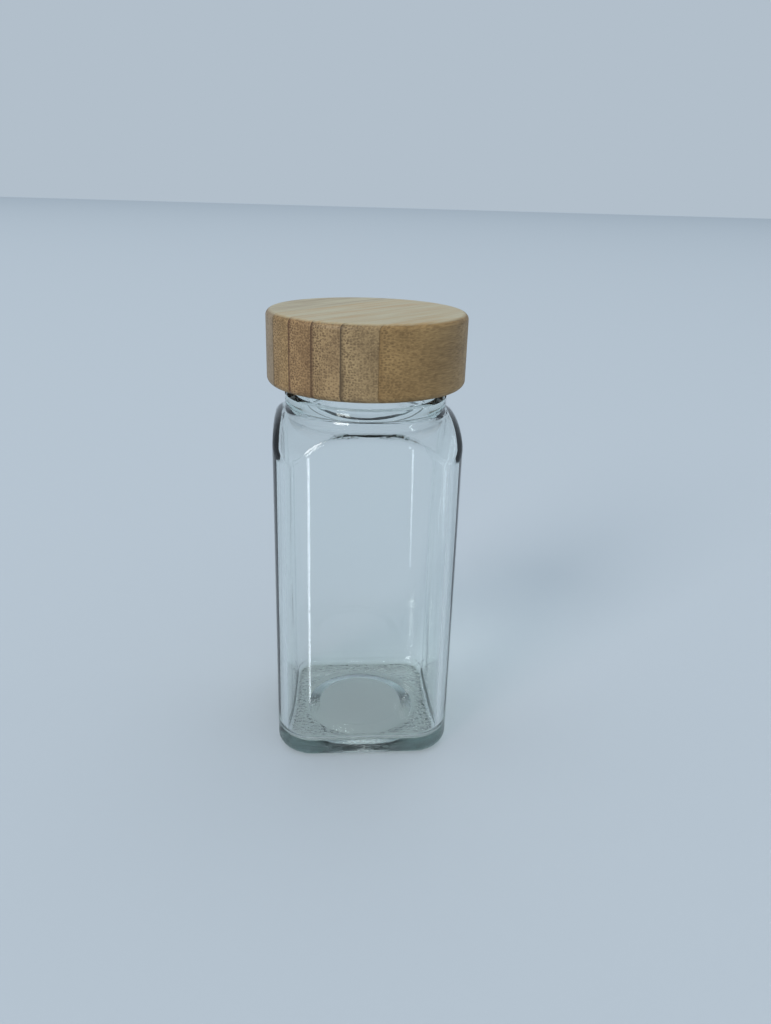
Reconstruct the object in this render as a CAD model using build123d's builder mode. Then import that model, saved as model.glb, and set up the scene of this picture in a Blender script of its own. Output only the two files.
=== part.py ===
from build123d import *
import math
import os

os.makedirs("parts", exist_ok=True)

# A square glass spice jar with a round screw lid turned from glued bamboo strips.
# Lengths are millimetres and angles are degrees. The jar's axis is Z, its four flat sides
# face along X and Y, and Z is zero on the plane that it stands on.

# Neck and mouth
mouth_diameter = 30.4
neck_wall = 2.25
finish_height = 9.7
rim_round = 0.6
bead_overhang = 1.15
bead_height = 2.6
bead_upper_round_share = 0.48
neck_foot_round = 0.6
groove_depth = 0.5
groove_height = 1.3
bead_lower_round_share = 0.8

# Screw thread on the neck
thread_pitch = 4.23
thread_depth = 1.2
thread_crest_width = 1.0
thread_flank_angle = 26.5
thread_start_below_rim = 1.0
thread_end_above_bead = 0.9
thread_run_out = 16.0
thread_root_sink = 0.3
thread_tip_share = 0.1

# Glass body
body_height = 87.6
glass_wall = 2.4
corner_radius = 9.5
shoulder_overhang = 2.6
shoulder_setback = 2.15
shoulder_drop = 10.5
shoulder_run_out = 0.15
shoulder_round = 2.4
inner_shoulder_round = 1.2
throat_flare = 6.0

# Glass base
base_thickness = 3.2
heel_round = 2.5
inner_heel_round = 3.0
bearing_width = 5.4
push_up_step = 1.5
push_up_ramp = 3.2
push_up_height = 2.0
floor_crown = 0.5
floor_margin = 0.8

# Sifter that snaps into the mouth
flange_thickness = 0.8
flange_setback = 0.45
sifter_skirt_length = 6.4
sifter_skirt_wall = 0.9
sifter_skirt_clearance = 0.4
sifter_lead_in_share = 0.45
rib_clearance = 0.05
rib_height = 0.9
rib_spacing = 2.4
rib_count = 2
sifter_plate_depth = 2.6
sifter_plate_thickness = 1.0
sifter_hole_diameter = 6.0
sifter_hole_margin = 1.9
sifter_ring_count = 6

# Sealing disc and plastic screw cap
liner_thickness = 1.0
liner_clearance = 0.25
thread_clearance = 0.25
flank_clearance = 0.4
cap_wall = 1.4
cap_plate_thickness = 1.4
cap_recess = 0.4
cap_edge_round = 0.4
cap_thread_end_gap = 0.3

# Bamboo shell
glue_gap = 0.1
bamboo_wall = 3.6
bamboo_top_thickness = 7.0
bamboo_edge_round = 1.5
bamboo_bore_chamfer = 0.4
lid_gap = 2.7
strip_width = 6.59
strip_offset = 1.22
narrowest_strip_share = 0.5
strip_angle = -44.8

# How far a cutting shape reaches past what it cuts
overrun = 1.0

# Radii that follow from the mouth outward
mouth_radius = mouth_diameter / 2
neck_radius = mouth_radius + neck_wall
thread_radius = neck_radius + thread_depth
bead_radius = thread_radius + bead_overhang
groove_radius = bead_radius - groove_depth
half_width = bead_radius + shoulder_overhang
ledge_radius = half_width - shoulder_setback
inner_half_width = half_width - glass_wall
inner_corner_radius = corner_radius - glass_wall
push_up_radius = half_width - heel_round - bearing_width
floor_radius = inner_half_width - inner_heel_round - floor_margin
sifter_skirt_radius = mouth_radius - sifter_skirt_clearance
sifter_inner_radius = sifter_skirt_radius - sifter_skirt_wall
sifter_hole_radius = sifter_hole_diameter / 2
sifter_ring_radius = sifter_inner_radius - sifter_hole_margin - sifter_hole_radius
rib_radius = mouth_radius - rib_clearance
flange_radius = neck_radius - flange_setback
cap_crest_radius = neck_radius + thread_clearance
cap_root_radius = thread_radius + thread_clearance
cap_radius = cap_root_radius + cap_wall
liner_radius = cap_root_radius - liner_clearance
bore_radius = cap_radius + glue_gap
lid_radius = bore_radius + bamboo_wall

# Heights that follow from the base upward
groove_top = body_height + groove_height
bead_top = groove_top + bead_height
rim_height = bead_top + finish_height
flange_top = rim_height + flange_thickness
liner_top = flange_top + liner_thickness
cap_top = liner_top + cap_plate_thickness
lid_top = cap_top + bamboo_top_thickness
lid_bottom = bead_top + lid_gap
cap_bottom = lid_bottom + cap_recess
sifter_bottom = rim_height - sifter_skirt_length
sifter_plate_top = flange_top - sifter_plate_depth
sifter_plate_bottom = sifter_plate_top - sifter_plate_thickness

# The shoulder's dome is an arc that stands upright at its foot. The glass under it is as thick
# as the walls, so the inner dome is the same arc with a smaller radius.
dome_foot_radius = (half_width - corner_radius) * math.sqrt(2) + corner_radius + shoulder_run_out
dome_foot_height = body_height - shoulder_drop
dome_width = dome_foot_radius - ledge_radius
dome_radius = (dome_width**2 + shoulder_drop**2) / (2 * dome_width)
inner_dome_share = 1 - glass_wall / dome_radius
inner_dome_foot_radius = dome_foot_radius - glass_wall
inner_ledge_radius = inner_dome_foot_radius - dome_width * inner_dome_share
inner_ledge_height = dome_foot_height + shoulder_drop * inner_dome_share

# The two threads share one helix, and their flanks lean alike
flank_lean = 2 * math.tan(math.radians(thread_flank_angle))
neck_thread_width = thread_crest_width + thread_depth * flank_lean
neck_thread_bottom = bead_top + thread_end_above_bead + neck_thread_width / 2
neck_thread_top = rim_height - thread_start_below_rim - neck_thread_width / 2
neck_width_at_cap_crest = thread_crest_width + (thread_radius - cap_crest_radius) * flank_lean
cap_thread_depth = cap_root_radius - cap_crest_radius
cap_thread_crest_width = thread_pitch - neck_width_at_cap_crest - 2 * flank_clearance
cap_thread_width = cap_thread_crest_width + cap_thread_depth * flank_lean
cap_thread_bottom = cap_bottom + cap_thread_end_gap + cap_thread_width / 2
cap_thread_top = flange_top - cap_thread_end_gap - cap_thread_width / 2
cap_thread_turn = 360 * ((cap_thread_bottom - neck_thread_bottom) / thread_pitch - 1 / 2)


def thread_ridge(wall_radius, rise, crest_width, bottom, top):
    """A right-hand helical ridge on a round wall, fading out at both ends.

    The ridge stands out from the wall by rise, inward where rise is negative. Its middle
    line starts over +X at the height bottom and climbs to the height top.
    """
    turns = (top - bottom) / thread_pitch
    fade = thread_run_out / (2 * math.pi * wall_radius)
    foot = -math.copysign(thread_root_sink, rise)
    foot_width = crest_width + (abs(rise) + thread_root_sink) * flank_lean
    spans = []
    for start, end, first_share, last_share in (
        (0, fade, thread_tip_share, 1),
        (fade, turns - fade, 1, 1),
        (turns - fade, turns, 1, thread_tip_share),
    ):
        climb = (end - start) * thread_pitch
        with BuildLine() as path:
            helix = Helix(thread_pitch, climb, wall_radius, center=(0, 0, bottom + start * thread_pitch))
        sections = []
        for place, share in ((0, first_share), (1, last_share)):
            spot = helix @ place
            with BuildSketch(Plane(spot, x_dir=(spot.X, spot.Y, 0), z_dir=helix % place)) as section:
                with BuildLine():
                    Polyline(
                        (foot, -foot_width / 2),
                        (rise * share, -crest_width / 2),
                        (rise * share, crest_width / 2),
                        (foot, foot_width / 2),
                        close=True,
                    )
                make_face()
            sections.append(section.sketch)
        with BuildPart() as span:
            sweep(sections, path=path.line, multisection=True, is_frenet=True)
        spans.append(Rot(0, 0, 360 * start) * span.part)
    return spans[0] + spans[1:]


def domed_block(half, corner, foot_height, dome_foot, ledge, foot_round, dome_round):
    """An upright block of rounded-square section whose top is turned to a dome.

    The dome rises upright from its foot and ends in a flat round ledge. Both are given as a
    radius and a height. The block's foot is rounded, and so is the line where the dome cuts
    its sides, which arches up on each flat side.
    """
    dome_foot_reach = dome_foot[0]
    ledge_level = ledge[1]
    with BuildPart() as block:
        with BuildSketch(Plane.XY.offset(foot_height)):
            RectangleRounded(2 * half, 2 * half, corner)
        extrude(amount=ledge_level - foot_height)
        with BuildSketch(Plane.XZ):
            with BuildLine():
                Polyline(ledge, (0, ledge_level), (0, foot_height), (dome_foot_reach, foot_height), dome_foot)
                TangentArc(dome_foot, ledge, tangent=(0, 1))
            make_face()
        revolve(axis=Axis.Z, mode=Mode.INTERSECT)
        fillet(block.faces().sort_by(Axis.Z)[0].edges(), foot_round)
        fillet(block.edges().filter_by(GeomType.BSPLINE), dome_round)
    return block.part


# The hollow of the jar: a smaller domed block with a slightly crowned floor, and a round
# throat that flares where it meets the shoulder.
with BuildPart() as hollow:
    add(
        domed_block(
            inner_half_width,
            inner_corner_radius,
            base_thickness,
            (inner_dome_foot_radius, dome_foot_height),
            (inner_ledge_radius, inner_ledge_height),
            inner_heel_round,
            inner_shoulder_round,
        )
    )
    with BuildSketch(Plane.XZ):
        with BuildLine():
            TangentArc(
                (0, base_thickness + floor_crown),
                (floor_radius, base_thickness),
                tangent=(1, 0),
            )
            Polyline(
                (floor_radius, base_thickness),
                (0, base_thickness),
                (0, base_thickness + floor_crown),
            )
        make_face()
    revolve(axis=Axis.Z, mode=Mode.SUBTRACT)
    with BuildSketch(Plane.XZ):
        with BuildLine():
            flare_foot = (inner_ledge_radius, inner_ledge_height)
            flare_top = (mouth_radius, inner_ledge_height + throat_flare)
            TangentArc(flare_top, flare_foot, tangent=(0, -1))
            Polyline(
                flare_top,
                (mouth_radius, rim_height + overrun),
                (0, rim_height + overrun),
                (0, inner_ledge_height),
                flare_foot,
            )
        make_face()
    revolve(axis=Axis.Z)

# The glass jar: body, then the groove, bead and neck turned as one outline, then the
# thread, and last the hollow and the round push-up under the base.
with BuildPart() as glass_jar:
    add(
        domed_block(
            half_width,
            corner_radius,
            0,
            (dome_foot_radius, dome_foot_height),
            (ledge_radius, body_height),
            heel_round,
            shoulder_round,
        )
    )
    with BuildSketch(Plane.XZ) as finish:
        with BuildLine():
            TangentArc((groove_radius, groove_top), (ledge_radius, body_height), tangent=(0, -1))
            Polyline(
                (groove_radius, groove_top),
                (bead_radius, groove_top),
                (bead_radius, bead_top),
                (neck_radius, bead_top),
                (neck_radius, rim_height),
                (0, rim_height),
                (0, body_height),
                (ledge_radius, body_height),
            )
        make_face()
        corners = finish.vertices()
        fillet(corners.sort_by_distance((bead_radius, groove_top))[0], groove_depth * bead_lower_round_share)
        fillet(corners.sort_by_distance((bead_radius, bead_top))[0], bead_height * bead_upper_round_share)
        fillet(corners.sort_by_distance((neck_radius, bead_top))[0], neck_foot_round)
    revolve(axis=Axis.Z)
    add(thread_ridge(neck_radius, thread_depth, thread_crest_width, neck_thread_bottom, neck_thread_top))
    add(hollow.part, mode=Mode.SUBTRACT)
    fillet(glass_jar.edges().filter_by_position(Axis.Z, rim_height, rim_height), rim_round)
    with BuildSketch(Plane.XZ):
        with BuildLine():
            ramp_top = (push_up_radius - push_up_ramp, push_up_step)
            TangentArc((0, push_up_height), ramp_top, tangent=(1, 0))
            Polyline(
                ramp_top,
                (push_up_radius, 0),
                (push_up_radius, -overrun),
                (0, -overrun),
                (0, push_up_height),
            )
        make_face()
    revolve(axis=Axis.Z, mode=Mode.SUBTRACT)
glass_jar.part.label = "glass_jar"
export_step(glass_jar.part, "parts/glass_jar.step")

# The sifter: a flange on the rim, a ribbed skirt in the mouth and a sunk plate with holes
with BuildPart() as shaker_insert:
    lead_in = sifter_skirt_wall * sifter_lead_in_share
    with BuildSketch(Plane.XZ):
        with BuildLine():
            Polyline(
                (0, sifter_plate_bottom),
                (sifter_inner_radius, sifter_plate_bottom),
                (sifter_inner_radius, sifter_bottom),
                (sifter_skirt_radius - lead_in, sifter_bottom),
                (sifter_skirt_radius, sifter_bottom + lead_in),
                (sifter_skirt_radius, rim_height),
                (flange_radius, rim_height),
                (flange_radius, flange_top),
                (sifter_inner_radius, flange_top),
                (sifter_inner_radius, sifter_plate_top),
                (0, sifter_plate_top),
                close=True,
            )
        make_face()
        for rib in range(rib_count):
            rib_middle = rim_height - (rib + 1) * rib_spacing
            with BuildLine():
                Polyline(
                    (sifter_inner_radius, rib_middle - rib_height / 2),
                    (sifter_skirt_radius, rib_middle - rib_height / 2),
                    (rib_radius, rib_middle),
                    (sifter_skirt_radius, rib_middle + rib_height / 2),
                    (sifter_inner_radius, rib_middle + rib_height / 2),
                    close=True,
                )
            make_face()
    revolve(axis=Axis.Z)
    with BuildSketch(Plane.XY.offset(sifter_plate_bottom - overrun)):
        Circle(sifter_hole_radius)
        with PolarLocations(sifter_ring_radius, sifter_ring_count):
            Circle(sifter_hole_radius)
    extrude(amount=sifter_plate_thickness + 2 * overrun, mode=Mode.SUBTRACT)
shaker_insert.part.label = "shaker_insert"
export_step(shaker_insert.part, "parts/shaker_insert.step")

# The sealing disc, loose between the sifter's flange and the cap's plate
with BuildPart() as cap_liner:
    with BuildSketch(Plane.XY.offset(flange_top)):
        Circle(liner_radius)
    extrude(amount=liner_thickness)
cap_liner.part.label = "cap_liner"
export_step(cap_liner.part, "parts/cap_liner.step")

# The plastic cap: its thread lies half a pitch from the neck's, and both climb alike
with BuildPart() as threaded_cap:
    with BuildSketch(Plane.XZ) as cap_outline:
        with BuildLine():
            Polyline(
                (0, liner_top),
                (cap_root_radius, liner_top),
                (cap_root_radius, cap_bottom),
                (cap_radius, cap_bottom),
                (cap_radius, cap_top),
                (0, cap_top),
                close=True,
            )
        make_face()
        fillet(cap_outline.vertices().sort_by(Axis.X)[-2:], cap_edge_round)
    revolve(axis=Axis.Z)
    cap_ridge = thread_ridge(
        cap_root_radius, -cap_thread_depth, cap_thread_crest_width, cap_thread_bottom, cap_thread_top
    )
    add(cap_ridge.rotate(Axis.Z, cap_thread_turn))
threaded_cap.part.label = "threaded_cap"
export_step(threaded_cap.part, "parts/threaded_cap.step")

# The bamboo shell as it comes off the lathe, before it is told apart into its strips
with BuildPart() as shell:
    with BuildSketch(Plane.XZ) as shell_outline:
        with BuildLine():
            Polyline(
                (bore_radius, lid_bottom),
                (lid_radius, lid_bottom),
                (lid_radius, lid_top),
                (0, lid_top),
                (0, cap_top),
                (bore_radius, cap_top),
                close=True,
            )
        make_face()
        bore_mouth = shell_outline.vertices().sort_by_distance((bore_radius, lid_bottom))[0]
        chamfer(bore_mouth, bamboo_bore_chamfer)
        fillet(shell_outline.vertices().sort_by(Axis.X)[-2:], bamboo_edge_round)
    revolve(axis=Axis.Z)

# The glue lines stand a strip's width apart, and one too near the lid's edge is left out
narrowest_strip = strip_width * narrowest_strip_share
first_line = math.ceil((narrowest_strip - lid_radius - strip_offset) / strip_width - 1 / 2)
last_line = math.floor((lid_radius - narrowest_strip - strip_offset) / strip_width - 1 / 2)
glue_lines = [strip_offset + (line + 1 / 2) * strip_width for line in range(first_line, last_line + 1)]
strip_edges = [-lid_radius - overrun, *glue_lines, lid_radius + overrun]
lean = math.radians(strip_angle)
across_strips = (math.cos(lean), math.sin(lean), 0)
for number, (low_edge, high_edge) in enumerate(zip(strip_edges, strip_edges[1:]), 1):
    with BuildPart() as bamboo_strip:
        add(shell.part)
        with BuildSketch(Plane((0, 0, lid_bottom - overrun), x_dir=across_strips, z_dir=(0, 0, 1))):
            with Locations(((low_edge + high_edge) / 2, 0)):
                Rectangle(high_edge - low_edge, 2 * (lid_radius + overrun))
        extrude(amount=lid_top - lid_bottom + 2 * overrun, mode=Mode.INTERSECT)
    bamboo_strip.part.label = f"bamboo_strip_{number}"
    export_step(bamboo_strip.part, f"parts/bamboo_strip_{number}.step")
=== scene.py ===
import math

import bpy
from mathutils import Matrix, Vector

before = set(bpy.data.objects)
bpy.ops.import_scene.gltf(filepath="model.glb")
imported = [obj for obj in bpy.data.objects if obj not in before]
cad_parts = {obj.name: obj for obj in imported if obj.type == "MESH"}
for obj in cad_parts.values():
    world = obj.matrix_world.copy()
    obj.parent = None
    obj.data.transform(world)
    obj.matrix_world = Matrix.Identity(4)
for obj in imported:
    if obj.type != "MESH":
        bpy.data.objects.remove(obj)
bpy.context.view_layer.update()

# A square glass spice jar with a turned bamboo lid, on a pale studio floor.
# The jar stands on Z = 0 with its axis on Z. Lengths are metres and angles are degrees, and the
# patterns of the materials are in millimetres.

MM = 0.001

# The camera's place, found from the jar's outlines in the photograph
IMAGE_HEIGHT = 1024
FOCAL_PIXELS = 815
SENSOR_SIDE = 36.0
CAMERA_SIDE = 5.7 * MM
CAMERA_BACK = 197.2 * MM
CAMERA_HEIGHT = 137.3 * MM
CAMERA_PITCH = 21.42
CAMERA_ROLL = 1.73
CAMERA_TURN = -5.1
CAMERA_NEAREST = 10 * MM

# The way in which the strips of the lid are laid side by side
STRIP_ANGLE = math.radians(-44.8)
ACROSS_X, ACROSS_Y = math.cos(STRIP_ANGLE), math.sin(STRIP_ANGLE)

# The sockets of a Mix node that mixes colours
MIX_SHARE, MIX_FIRST, MIX_SECOND, MIX_RESULT = 0, 6, 7, 2


class Value:
    """A number that varies over a surface. Arithmetic on it adds Math nodes."""

    def __init__(self, tree, socket):
        self.tree = tree
        self.socket = socket

    def math(self, operation, *others):
        """The Math node of that operation, with this value first."""
        return math_node(self.tree, operation, self, *others)

    def __add__(self, other):
        return self.math("ADD", other)

    def __radd__(self, other):
        return math_node(self.tree, "ADD", other, self)

    def __sub__(self, other):
        return self.math("SUBTRACT", other)

    def __rsub__(self, other):
        return math_node(self.tree, "SUBTRACT", other, self)

    def __mul__(self, other):
        return self.math("MULTIPLY", other)

    def __rmul__(self, other):
        return math_node(self.tree, "MULTIPLY", other, self)

    def __truediv__(self, other):
        return self.math("DIVIDE", other)

    def __abs__(self):
        return self.math("ABSOLUTE")

    def clamped(self):
        """The value held between 0 and 1."""
        return self.math("MAXIMUM", 0).math("MINIMUM", 1)

    def step(self, low, high):
        """0 below low, 1 above high, and a smooth rise between them."""
        share = ((self - low) / (high - low)).clamped()
        return share * share * (3 - 2 * share)


def math_node(tree, operation, *numbers):
    """One Math node, whose numbers are Values or plain numbers."""
    node = tree.nodes.new("ShaderNodeMath")
    node.operation = operation
    for place, number in enumerate(numbers):
        put(tree, node.inputs[place], number)
    return Value(tree, node.outputs[0])


def put(tree, socket, content):
    """Links a Value to a socket, or writes a plain value on it."""
    if isinstance(content, Value):
        tree.links.new(content.socket, socket)
    else:
        socket.default_value = content


def add_node(tree, kind, settings, inputs, output=0):
    """A node in a tree, its settings first and then its sockets, and one output of it."""
    node = tree.nodes.new(kind)
    for name, setting in settings.items():
        setattr(node, name, setting)
    for name, content in inputs.items():
        put(tree, node.inputs[name], content)
    return Value(tree, node.outputs[output])


def parts(tree, vector):
    """The three numbers of a vector."""
    node = tree.nodes.new("ShaderNodeSeparateXYZ")
    put(tree, node.inputs[0], vector)
    return [Value(tree, output) for output in node.outputs]


def mix_colours(tree, share, first, second):
    """A colour between two others."""
    sockets = {MIX_SHARE: share, MIX_FIRST: first, MIX_SECOND: second}
    return add_node(tree, "ShaderNodeMix", {"data_type": "RGBA"}, sockets, MIX_RESULT)


def shade(red, green, blue, tone=1):
    """A colour as a screen shows it, from 0 to 255, made darker or lighter by a tone."""

    def linear(share):
        """A share of the screen's light as a shader counts it."""
        return share / 12.92 if share < 0.04045 else ((share + 0.055) / 1.055) ** 2.4

    return tuple(linear(c * tone / 255) for c in (red, green, blue)) + (1,)


class Finish:
    """A material with one Principled shader, written node by node."""

    def __init__(self, name):
        self.material = bpy.data.materials.new(name)
        self.material.use_nodes = True
        self.tree = self.material.node_tree
        self.shader = self.tree.nodes["Principled BSDF"]

    def set(self, sockets):
        """Writes or links the shader's sockets."""
        for name, content in sockets.items():
            put(self.tree, self.shader.inputs[name], content)

    def node(self, kind, settings, inputs, output=0):
        """A node of that kind, with its settings and its sockets, and one output of it."""
        return add_node(self.tree, kind, settings, inputs, output)

    def place(self):
        """The point on the object, in millimetres."""
        spot = self.node("ShaderNodeTexCoord", {}, {}, "Object")
        sockets = {0: spot, "Scale": 1 / MM}
        return self.node("ShaderNodeVectorMath", {"operation": "SCALE"}, sockets)

    def facing(self):
        """The surface's own direction."""
        return self.node("ShaderNodeTexCoord", {}, {}, "Normal")

    def parts(self, vector):
        """The three numbers of a vector."""
        return parts(self.tree, vector)

    def vector(self, x, y, z):
        """A vector of three numbers."""
        return self.node("ShaderNodeCombineXYZ", {}, {0: x, 1: y, 2: z})

    def noise(self, vector, scale=1.0, detail=2.0, roughness=0.5):
        """Smooth noise from 0 to 1."""
        sockets = {"Vector": vector, "Scale": scale, "Detail": detail, "Roughness": roughness}
        return self.node("ShaderNodeTexNoise", {}, sockets)

    def blend(self, share, first, second):
        """A colour between two others."""
        return mix_colours(self.tree, share, first, second)

    def bump(self, height, strength, distance):
        """A normal bent by a height map."""
        sockets = {"Strength": strength, "Distance": distance, "Height": height}
        return self.node("ShaderNodeBump", {}, sockets)


def make_camera():
    """A camera with the photograph's lens and stance."""
    data = bpy.data.cameras.new("camera")
    data.sensor_width = SENSOR_SIDE
    data.lens = FOCAL_PIXELS / IMAGE_HEIGHT * SENSOR_SIDE
    data.clip_start = CAMERA_NEAREST
    camera = bpy.data.objects.new("camera", data)
    bpy.context.scene.collection.objects.link(camera)
    stance = Matrix.Rotation(math.radians(CAMERA_TURN), 4, "Z")
    stance @= Matrix.Translation((CAMERA_SIDE, -CAMERA_BACK, CAMERA_HEIGHT))
    stance @= Matrix.Rotation(math.radians(90 - CAMERA_PITCH), 4, "X")
    stance @= Matrix.Rotation(math.radians(CAMERA_ROLL), 4, "Z")
    camera.matrix_world = stance
    bpy.context.scene.camera = camera


# The studio: a pale cool floor, soft boxes, and a room that is pale at the horizon and that
# shiny things see as dim overhead
FLOOR_SIDE = 16
FLOOR_DROP = 0.05 * MM
FLOOR_COLOUR = shade(183, 188, 192)
HORIZON_COLOUR = shade(178, 191, 203)
CEILING_COLOUR = shade(92, 97, 102)
LAMP_AIM = (0, 0, 60 * MM)
GLEAM_HEIGHT = 0.4 * MM
GLEAM_COLOUR = shade(240, 247, 255)

# How far up a direction points where the room begins to be dim and where it is dimmest, how far
# back one points where the dimness begins to weaken and where it is weakest, by how much it
# weakens there, and by how much brighter the room lights what isn't shiny
OVERHEAD = (0.22, 0.60)
BEHIND = (-0.20, 0.40)
BEHIND_LOSS = 0.5
ROOM_GAIN = 0.5


def make_lamp(name, place, size, power, colour):
    """A soft box that faces the jar."""
    data = bpy.data.lights.new(name, "AREA")
    data.shape = "RECTANGLE"
    data.size, data.size_y = size
    data.energy = power
    data.color = colour
    lamp = bpy.data.objects.new(name, data)
    bpy.context.scene.collection.objects.link(lamp)
    lamp.location = place
    away = Vector(place) - Vector(LAMP_AIM)
    lamp.rotation_euler = away.to_track_quat("Z", "Y").to_euler()


def add_plane(name, size):
    """A square plane at the origin."""
    bpy.ops.object.select_all(action="DESELECT")
    bpy.ops.mesh.primitive_plane_add(size=size)
    plane = bpy.context.object
    plane.name = name
    return plane


def make_floor():
    """A pale floor, a hair below the jar."""
    floor = add_plane("studio_floor", FLOOR_SIDE)
    for vertex in floor.data.vertices:
        vertex.co.z = -FLOOR_DROP
    paint = Finish("pale_floor")
    paint.set({"Base Color": FLOOR_COLOUR, "Roughness": 0.9, "Specular IOR Level": 0.0})
    floor.data.materials.append(paint.material)


def make_room():
    """The room round the jar. Glass and plastic see it pale at the horizon and dim overhead."""
    world = bpy.data.worlds.new("room")
    bpy.context.scene.world = world
    world.use_nodes = True
    tree = world.node_tree
    way = add_node(tree, "ShaderNodeTexCoord", {}, {}, "Generated")
    _, back, up = parts(tree, way)
    bounce = add_node(tree, "ShaderNodeLightPath", {}, {}, "Is Diffuse Ray")
    seen = add_node(tree, "ShaderNodeLightPath", {}, {}, "Is Camera Ray")
    dim = up.step(*OVERHEAD) * (1 - back.step(*BEHIND) * BEHIND_LOSS) * (1 - bounce) * (1 - seen)
    colour = mix_colours(tree, dim, HORIZON_COLOUR, CEILING_COLOUR)
    put(tree, tree.nodes["Background"].inputs["Color"], colour)
    put(tree, tree.nodes["Background"].inputs["Strength"], 1 + bounce * ROOM_GAIN)


def make_gleam(name, start, bearing, near, far, spread, strength):
    """A narrow card of light on the floor, which only the shine of glass and plastic shows.

    It points away from the corner at start, along a bearing, and widens with the distance.
    """
    card = add_plane(name, 2)
    for vertex in card.data.vertices:
        reach = far if vertex.co.x > 0 else near
        turn = math.radians(bearing + spread / 2 * vertex.co.y)
        x, y = start[0] + reach * math.cos(turn), start[1] + reach * math.sin(turn)
        vertex.co = (x, y, GLEAM_HEIGHT)
    glow = bpy.data.materials.new(name)
    glow.use_nodes = True
    tree = glow.node_tree
    tree.nodes.remove(tree.nodes["Principled BSDF"])
    sockets = {"Color": GLEAM_COLOUR, "Strength": strength}
    light = add_node(tree, "ShaderNodeEmission", {}, sockets)
    put(tree, tree.nodes["Material Output"].inputs["Surface"], light)
    card.data.materials.append(glow)
    card.visible_camera = False
    card.visible_diffuse = False
    card.visible_shadow = False


# The glass: its tint, how fast it darkens with depth, and what a lamp's light keeps behind it
GLASS_TINT = (0.60, 0.80, 0.76, 1)
GLASS_DENSITY = 42.0
LAMPLIGHT_KEPT = (0.84, 0.86, 0.86, 1)

# Its underside: the ring that the jar stands on, the ramp inside it and the heel outside it. Each
# fades over a height at its top, and over a distance from the axis at its edges.
STAND_TOP = (0.02, 1.2)
STAND_INSIDE = (14.6, 15.0)
RAMP_TOP = (1.7, 2.1)
RAMP_INSIDE = (10.8, 11.6)
RAMP_OUTSIDE = (14.2, 14.6)
HEEL_TOP = (2.6, 4.2)
HEEL_INSIDE = (15.0, 16.5)


def make_glass():
    """Clear glass with a faint blue-green tint in its depth. Lamps shine through it.

    The ring that the jar stands on and the ramp inside it are stippled, and the heel is rippled.
    The walls are faintly wavy.
    """
    glass = Finish("clear_glass")
    spot = glass.place()
    x, y, z = glass.parts(spot)
    reach = glass.vector(x, y, 0.0)
    reach = glass.node("ShaderNodeVectorMath", {"operation": "LENGTH"}, {0: reach}, "Value")
    stand = (1 - z.step(*STAND_TOP)) * reach.step(*STAND_INSIDE)
    ramp = (1 - z.step(*RAMP_TOP)) * reach.step(*RAMP_INSIDE) * (1 - reach.step(*RAMP_OUTSIDE))
    heel = (1 - z.step(*HEEL_TOP)) * reach.step(*HEEL_INSIDE)
    stipples = glass.noise(spot, 1.3, 2.0)
    ripples = glass.noise(glass.vector(x * 1.15, y * 1.15, z * 0.40), 1.0, 2.0)
    waves = glass.noise(glass.vector(x * 0.09, y * 0.09, z * 0.03), 1.0, 1.0)
    height = stipples * (stand * 0.55 + ramp * 0.6) + ripples * heel * 1.4 + waves * 0.5
    glass.set({
        "Base Color": (1, 1, 1, 1),
        "Roughness": ramp * 0.08 + stand * 0.04,
        "IOR": 1.51,
        "Transmission Weight": 1.0,
        "Normal": glass.bump(height, 0.6, 0.35 * MM),
    })
    lamplight = glass.node("ShaderNodeLightPath", {}, {}, "Is Shadow Ray")
    clear = glass.node("ShaderNodeBsdfTransparent", {}, {"Color": LAMPLIGHT_KEPT})
    body = Value(glass.tree, glass.shader.outputs[0])
    both = glass.node("ShaderNodeMixShader", {}, {0: lamplight, 1: body, 2: clear})
    sockets = {"Color": GLASS_TINT, "Density": GLASS_DENSITY}
    depth = glass.node("ShaderNodeVolumeAbsorption", {}, sockets)
    out = glass.tree.nodes["Material Output"]
    put(glass.tree, out.inputs["Surface"], both)
    put(glass.tree, out.inputs["Volume"], depth)
    return glass.material


# The bamboo. Each strip from the low side up: its pale wood, its dark bundles and the band
# along its low side as a screen shows them, then how thick the bundles stand at the low and at
# the high side, and how strong that band is.
STRIPS = {
    1: ((143, 121, 91), (101, 80, 55), (99, 78, 52), 0.85, 0.50, 0.5),
    2: ((147, 127, 100), (116, 96, 71), (109, 87, 62), 0.60, 0.30, 0.4),
    3: ((173, 140, 95), (104, 78, 42), (106, 84, 48), 1.00, 0.90, 0.8),
    4: ((170, 137, 94), (97, 67, 37), (100, 66, 39), 1.00, 0.85, 1.0),
    5: ((170, 141, 99), (94, 67, 38), (92, 63, 36), 1.00, 0.50, 1.0),
    6: ((168, 141, 99), (101, 77, 47), (93, 73, 45), 1.00, 0.60, 1.0),
    7: ((169, 136, 87), (109, 81, 43), (127, 96, 53), 0.90, 0.65, 0.6),
}
SEED_STEP = 17.3

# The sanded top's own colour, and the tones of it, of a bundle and of a glue line
TOP_WOOD = (170, 159, 130)
TOP_TONE = 1.05
BUNDLE_TONE = 0.88
SEAM_TONE = 0.65

# The bundles: the sides of the cells that hold one fine or one coarse bundle each, and how much
# the rows wander
FINE_CELL = 0.54
COARSE_CELL = 0.78
WANDER = 1.5
SWAY_SHIFT = 40


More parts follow.
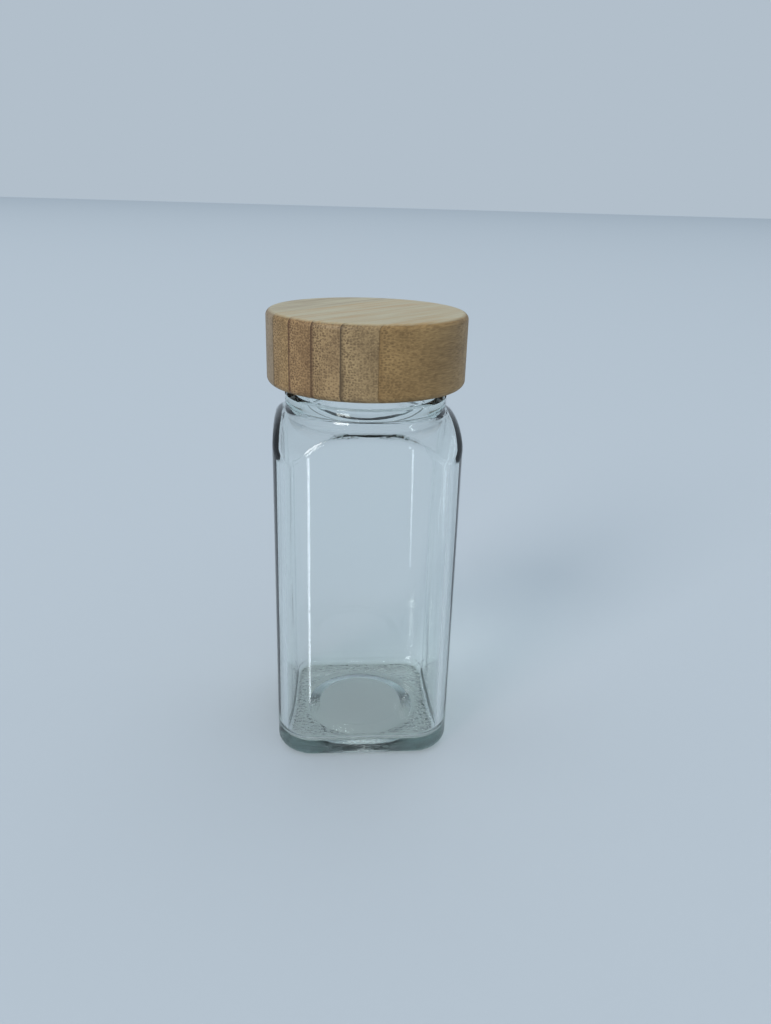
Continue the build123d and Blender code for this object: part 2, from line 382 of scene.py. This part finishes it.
def make_bamboo(name, low, high, seed, pale, dark, band, low_crowd, high_crowd, band_share):
    """One upright strip of bamboo, whose dark bundles run along it.

    On end grain the bundles show as dots, and elsewhere as streaks. They stand thickest at the
    strip's low side, which was the outside of the cane.
    """
    wood = Finish(name)
    x, y, z = wood.parts(wood.place())
    across = x * ACROSS_X + y * ACROSS_Y
    along = y * ACROSS_X - x * ACROSS_Y
    depth = across - low
    share = (depth / (high - low)).clamped()

    nx, ny, up = wood.parts(wood.facing())
    end_grain = abs(ny * ACROSS_X - nx * ACROSS_Y)
    flat_top = up.step(0.90, 1.0)

    def grain(across_scale, along_scale, up_scale, detail=2.0, roughness=0.5, shift=0):
        """Noise about 0, drawn out in the directions whose scale is small."""
        rise = z * up_scale + (seed + shift)
        spot = wood.vector(across * across_scale, along * along_scale, rise)
        return wood.noise(spot, 1.0, detail, roughness) - 0.5

    drift = grain(0.10, 0.09, 0.10)
    sway = grain(0.10, 0.09, 0.10, shift=SWAY_SHIFT)
    grit = grain(3.2, 0.35, 3.2, 2.0, 0.6)
    streak = grain(1.8, 0.05, 1.8, 3.0, 0.6)
    cloud = grain(0.25, 0.05, 0.12)
    broad = grain(0.75, 0.045, 0.75)

    def bundles(cell, crowd, radius, soft):
        """Dark bundles, one in each of some of the cells."""
        row = (across + drift * WANDER) / cell + seed
        spot = wood.vector(row, (z + sway * WANDER) / cell, 0.0)
        settings = {"voronoi_dimensions": "2D", "feature": "F1"}
        sockets = {"Vector": spot, "Scale": 1.0, "Randomness": 0.72}
        away = wood.node("ShaderNodeTexVoronoi", settings, sockets, "Distance")
        chances = wood.node("ShaderNodeTexVoronoi", settings, sockets, "Color")
        chance, tone, girth = wood.parts(chances)
        there = (crowd - chance).step(0.0, 0.08)
        mark = 1 - (away / (0.75 + girth * 0.5)).step(radius, radius + soft)
        return there * mark * (0.6 + tone * 0.4)

    crowd = low_crowd + (high_crowd - low_crowd) * share.step(0.05, 0.8)
    coarser = share.step(0.10, 0.75)
    fine = bundles(FINE_CELL, crowd * 1.1, 0.26, 0.20) * (1 - coarser * 0.30)
    coarse = bundles(COARSE_CELL, crowd * 0.9, 0.20, 0.20) * (0.20 + coarser * 0.45)
    bundle = fine.math("MAXIMUM", coarse) * (0.35 + end_grain * 0.65)

    darkness = (0.30 + share * 0.20 + cloud * 1.0 + grit * 1.3).clamped()
    edge = 1 - (depth + drift * 1.2 + grit * 0.8).step(0.10, 1.05)
    seam = 1 - depth.step(0.05, 0.20)
    side = wood.blend(darkness, shade(*pale), shade(*dark))
    side = wood.blend(edge * band_share, side, shade(*band))
    side = wood.blend(bundle * 0.95, side, shade(*dark, BUNDLE_TONE))
    side = wood.blend(seam * band_share * 0.9, side, shade(*band, SEAM_TONE))

    ridge = (0.34 + broad * 3.0 + streak * 1.6 + cloud * 0.8).clamped()
    sanded = wood.blend(ridge * 0.80, shade(*TOP_WOOD, TOP_TONE), shade(*pale))
    sanded = wood.blend(seam * 0.45, sanded, shade(*dark))

    top = (up * 1.12 + grit * 0.30).step(0.78, 1.02)
    height = grit * 0.6 + streak * 0.3 - bundle * 0.8
    wood.set({
        "Base Color": wood.blend(top * (0.60 + flat_top * 0.40), side, sanded),
        "Roughness": 0.50 + bundle * 0.15 - top * 0.06 + grit * 0.15,
        "IOR": 1.45,
        "Normal": wood.bump(height, 0.30, 0.08 * MM),
    })
    return wood.material


def strip_sides(node):
    """The low and high side of a strip, in millimetres across the lid."""
    points = [vertex.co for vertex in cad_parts[node].data.vertices]
    places = [(point.x * ACROSS_X + point.y * ACROSS_Y) / MM for point in points]
    return min(places), max(places)


def make_moulded(name, pale, deep, roughness):
    """Moulded plastic, faintly cloudy, with a satin grain and shallow sink marks."""
    plastic = Finish(name)
    spot = plastic.place()
    cloud = plastic.noise(spot, 0.14, 3.0) - 0.5
    grain = plastic.noise(spot, 5.0, 2.0, 0.6) - 0.5
    scuff = plastic.noise(spot, 1.1, 4.0, 0.7).step(0.56, 0.74)
    darkness = (0.45 + cloud * 1.1 + grain * 0.4).clamped()
    plastic.set({
        "Base Color": plastic.blend(darkness, shade(*pale), shade(*deep)),
        "Roughness": roughness + cloud * 0.15 + grain * 0.15 + scuff * 0.12,
        "IOR": 1.49,
        "Normal": plastic.bump(cloud * 0.6 + grain * 0.2, 0.25, 0.06 * MM),
    })
    return plastic.material


def make_foam(name, pale, deep):
    """A foamed sheet, with fine closed cells that show as small pits, which are painted darker as
    shade in them.
    """
    foam = Finish(name)
    spot = foam.place()
    sockets = {"Vector": spot, "Scale": 2.4}
    cell = foam.node("ShaderNodeTexVoronoi", {"feature": "F1"}, sockets, "Distance")
    pit = 1 - cell.step(0.10, 0.55)
    cloud = foam.noise(spot, 0.3, 3.0) - 0.5
    # Painted shade: the pits are darker in colour, as shade falling in them; the cloud is the
    # sheet's own uneven tone.
    darkness = (pit * 0.55 + cloud * 0.7 + 0.15).clamped()
    foam.set({
        "Base Color": foam.blend(darkness, shade(*pale), shade(*deep)),
        "Roughness": 0.78 + pit * 0.12 + cloud * 0.1,
        "Normal": foam.bump(cloud * 0.2 - pit * 0.5, 0.35, 0.10 * MM),
    })
    return foam.material


def dress(node, material):
    """Gives a CAD node its material."""
    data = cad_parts[node].data
    data.materials.clear()
    data.materials.append(material)


make_camera()
bpy.context.scene.view_settings.view_transform = "Standard"
make_floor()
make_room()
make_lamp(
    "window", place=(-4.95, -5.40, 4.95), size=(2.70, 4.95), power=380.0, colour=(1.0, 0.99, 0.97)
)
make_lamp(
    "sky_panel", place=(0.90, 2.25, 8.10), size=(7.20, 7.20), power=75.0, colour=(0.97, 0.99, 1.0)
)
make_gleam(
    "left_gleam", start=(-14 * MM, -22 * MM), bearing=-103.5, near=24 * MM, far=320 * MM,
    spread=6.0, strength=6.5,
)

dress("glass_jar", make_glass())
dress("threaded_cap", make_moulded("cap_plastic", (226, 224, 216), (204, 201, 190), 0.38))
dress("shaker_insert", make_moulded("sifter_plastic", (222, 226, 226), (198, 204, 205), 0.30))
dress("cap_liner", make_foam("liner_foam", (230, 228, 220), (200, 197, 186)))
for number, looks in STRIPS.items():
    node = f"bamboo_strip_{number}"
    dress(node, make_bamboo(node, *strip_sides(node), number * SEED_STEP, *looks))
